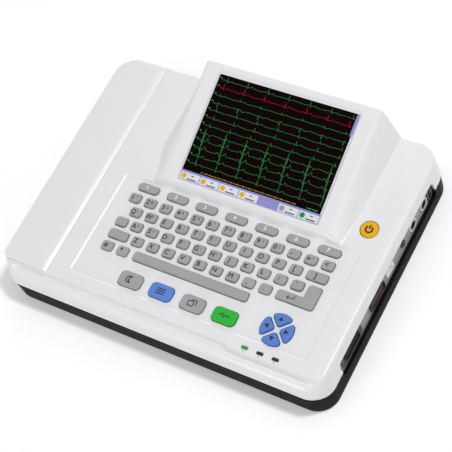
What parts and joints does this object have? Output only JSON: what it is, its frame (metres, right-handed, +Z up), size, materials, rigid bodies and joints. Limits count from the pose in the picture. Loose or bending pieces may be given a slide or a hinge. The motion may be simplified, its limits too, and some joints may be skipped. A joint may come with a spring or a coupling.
{
  "type": "ecg machine",
  "caption": "Desktop ECG machine with a tilted touch screen, a letter keyboard, a direction pad, side connectors and a chart printer under a hinged lid.",
  "frame": {"origin": "on the table surface, under the middle of the body", "axes": "+X to the operator's right, +Y to the back, +Z up"},
  "size_m": [0.388, 0.285, 0.1028],
  "materials": {
    "cover": "satin white moulded plastic",
    "base": "dark satin moulded plastic",
    "key_grey": "soft satin grey",
    "key_blue": "soft satin blue",
    "pad_blue": "soft satin light blue",
    "key_green": "soft satin green",
    "key_yellow": "soft satin yellow",
    "lens_green": "clear moulded",
    "lens_dark": "dark clear moulded",
    "screen_glass": "flat clear touch glass",
    "display": "dark display face",
    "steel": "bare steel",
    "board": "green circuit board",
    "silicone": "translucent silicone",
    "rubber": "black rubber",
    "paper": "chart paper",
    "nylon": "natural nylon",
    "brass": "dull brass",
    "alu": "folded sheet",
    "motor": "grey painted can",
    "panel": "satin grey",
    "socket_black": "black moulded",
    "socket_white": "white moulded",
    "battery": "shrink wrapped pack",
    "head": "print head strip"
  },
  "bodies": {
    "housing": {"base_tray": "base", "top_cover": "cover", "lid_hinge_pins": "steel", "battery_door": "base", "door_screws": "steel", "battery_pack": "battery", "rubber_feet": "rubber", "cover_screws": "steel", "board_screws": "steel", "touch_panel": "screen_glass", "lcd_module": "display", "lcd_bracket": "steel", "keypad_board": "board", "key_mat": "silicone", "power_lens": "lens_green", "status_lenses": "lens_dark", "printer_frame": "alu", "paper_spindle": "nylon", "platen_bushes": "brass", "drive_motor": "motor", "main_board": "board", "power_supply": "alu", "speaker": "socket_black", "side_panel": "panel", "patient_connector": "socket_black", "serial_connector": "brass", "data_port": "socket_white", "jack_socket": "socket_black", "round_sockets": "socket_white", "card_slot": "socket_black", "rear_panel": "panel", "mains_inlet": "socket_black", "switch_frame": "socket_black", "earth_stud": "steel"},
    "lid": {"paper_lid": "cover", "print_head": "head"},
    "platen": {"platen_roller": "rubber", "platen_shaft": "steel", "platen_gear": "nylon"},
    "idler": {"idler_gear": "nylon"},
    "pinion": {"motor_pinion": "brass"},
    "roll": {"paper_roll": "paper"},
    "rocker": {"switch_rocker": "socket_black"},
    "power_button": {"power_button": "key_yellow"},
    "function_keys": {"function_keys": "key_grey"},
    "digit_keys": {"digit_keys": "key_grey"},
    "upper_letter_keys": {"upper_letter_keys": "key_grey"},
    "middle_letter_keys": {"middle_letter_keys": "key_grey"},
    "lower_letter_keys": {"lower_letter_keys": "key_grey"},
    "small_keys": {"small_keys": "key_grey"},
    "space_bar": {"space_bar": "key_grey"},
    "enter_key": {"enter_key": "key_grey"},
    "sleep_key": {"sleep_key": "key_grey"},
    "mode_key": {"mode_key": "key_blue"},
    "copy_key": {"copy_key": "key_grey"},
    "start_key": {"start_key": "key_green"},
    "pad_up": {"pad_up": "pad_blue"},
    "pad_left": {"pad_left": "pad_blue"},
    "pad_right": {"pad_right": "pad_blue"},
    "pad_down": {"pad_down": "pad_blue"}
  },
  "joints": [
    {"name": "lid_hinge", "type": "hinge", "parent": "housing", "child": "lid", "pos_m": [-0.136, 0, 0.058], "axis": [0, 1, 0], "range_deg": [0, 95]},
    {"name": "platen_spin", "type": "hinge", "parent": "housing", "child": "platen", "pos_m": [-0.18, 0, 0.046], "axis": [0, 1, 0], "continuous": true},
    {"name": "idler_spin", "type": "hinge", "parent": "housing", "child": "idler", "pos_m": [-0.16215, 0.115, 0.0395], "axis": [0, 1, 0], "continuous": true},
    {"name": "pinion_spin", "type": "hinge", "parent": "housing", "child": "pinion", "pos_m": [-0.15736, 0.115, 0.02635], "axis": [0, 1, 0], "continuous": true},
    {"name": "roll_spin", "type": "hinge", "parent": "housing", "child": "roll", "pos_m": [-0.159, 0, 0.0285], "axis": [0, 1, 0], "continuous": true},
    {"name": "switch_rock", "type": "hinge", "parent": "housing", "child": "rocker", "pos_m": [-0.068, 0.1367, 0.027], "axis": [-1, 0, 0], "range_deg": [0, 18]},
    {"name": "power_button_press", "type": "slide", "parent": "housing", "child": "power_button", "axis": [0, 0, -1], "range_m": [0, 0.0015], "stiffness_N_per_m": 350, "springref_m": -0.0008},
    {"name": "function_keys_press", "type": "slide", "parent": "housing", "child": "function_keys", "axis": [0, 0, -1], "range_m": [0, 0.0015], "stiffness_N_per_m": 2450, "springref_m": -0.0008},
    {"name": "digit_keys_press", "type": "slide", "parent": "housing", "child": "digit_keys", "axis": [0, 0, -1], "range_m": [0, 0.0015], "stiffness_N_per_m": 4550, "springref_m": -0.0008},
    {"name": "upper_letter_keys_press", "type": "slide", "parent": "housing", "child": "upper_letter_keys", "axis": [0, 0, -1], "range_m": [0, 0.0015], "stiffness_N_per_m": 4200, "springref_m": -0.0008},
    {"name": "middle_letter_keys_press", "type": "slide", "parent": "housing", "child": "middle_letter_keys", "axis": [0, 0, -1], "range_m": [0, 0.0015], "stiffness_N_per_m": 4200, "springref_m": -0.0008},
    {"name": "lower_letter_keys_press", "type": "slide", "parent": "housing", "child": "lower_letter_keys", "axis": [0, 0, -1], "range_m": [0, 0.0015], "stiffness_N_per_m": 3500, "springref_m": -0.0008},
    {"name": "small_keys_press", "type": "slide", "parent": "housing", "child": "small_keys", "axis": [0, 0, -1], "range_m": [0, 0.0015], "stiffness_N_per_m": 700, "springref_m": -0.0008},
    {"name": "space_bar_press", "type": "slide", "parent": "housing", "child": "space_bar", "axis": [0, 0, -1], "range_m": [0, 0.0015], "stiffness_N_per_m": 1050, "springref_m": -0.0008},
    {"name": "enter_key_press", "type": "slide", "parent": "housing", "child": "enter_key", "axis": [0, 0, -1], "range_m": [0, 0.0015], "stiffness_N_per_m": 700, "springref_m": -0.0008},
    {"name": "sleep_key_press", "type": "slide", "parent": "housing", "child": "sleep_key", "axis": [0, 0, -1], "range_m": [0, 0.0015], "stiffness_N_per_m": 350, "springref_m": -0.0008},
    {"name": "mode_key_press", "type": "slide", "parent": "housing", "child": "mode_key", "axis": [0, 0, -1], "range_m": [0, 0.0015], "stiffness_N_per_m": 350, "springref_m": -0.0008},
    {"name": "copy_key_press", "type": "slide", "parent": "housing", "child": "copy_key", "axis": [0, 0, -1], "range_m": [0, 0.0015], "stiffness_N_per_m": 350, "springref_m": -0.0008},
    {"name": "start_key_press", "type": "slide", "parent": "housing", "child": "start_key", "axis": [0, 0, -1], "range_m": [0, 0.0015], "stiffness_N_per_m": 350, "springref_m": -0.0008},
    {"name": "pad_up_press", "type": "slide", "parent": "housing", "child": "pad_up", "axis": [0, 0, -1], "range_m": [0, 0.0015], "stiffness_N_per_m": 350, "springref_m": -0.0008},
    {"name": "pad_left_press", "type": "slide", "parent": "housing", "child": "pad_left", "axis": [0, 0, -1], "range_m": [0, 0.0015], "stiffness_N_per_m": 350, "springref_m": -0.0008},
    {"name": "pad_right_press", "type": "slide", "parent": "housing", "child": "pad_right", "axis": [0, 0, -1], "range_m": [0, 0.0015], "stiffness_N_per_m": 350, "springref_m": -0.0008},
    {"name": "pad_down_press", "type": "slide", "parent": "housing", "child": "pad_down", "axis": [0, 0, -1], "range_m": [0, 0.0015], "stiffness_N_per_m": 350, "springref_m": -0.0008}
  ],
  "couplings": [
    {"joint": "idler_spin", "follows": "platen_spin", "ratio": -0.9},
    {"joint": "pinion_spin", "follows": "platen_spin", "ratio": 2.25}
  ]
}
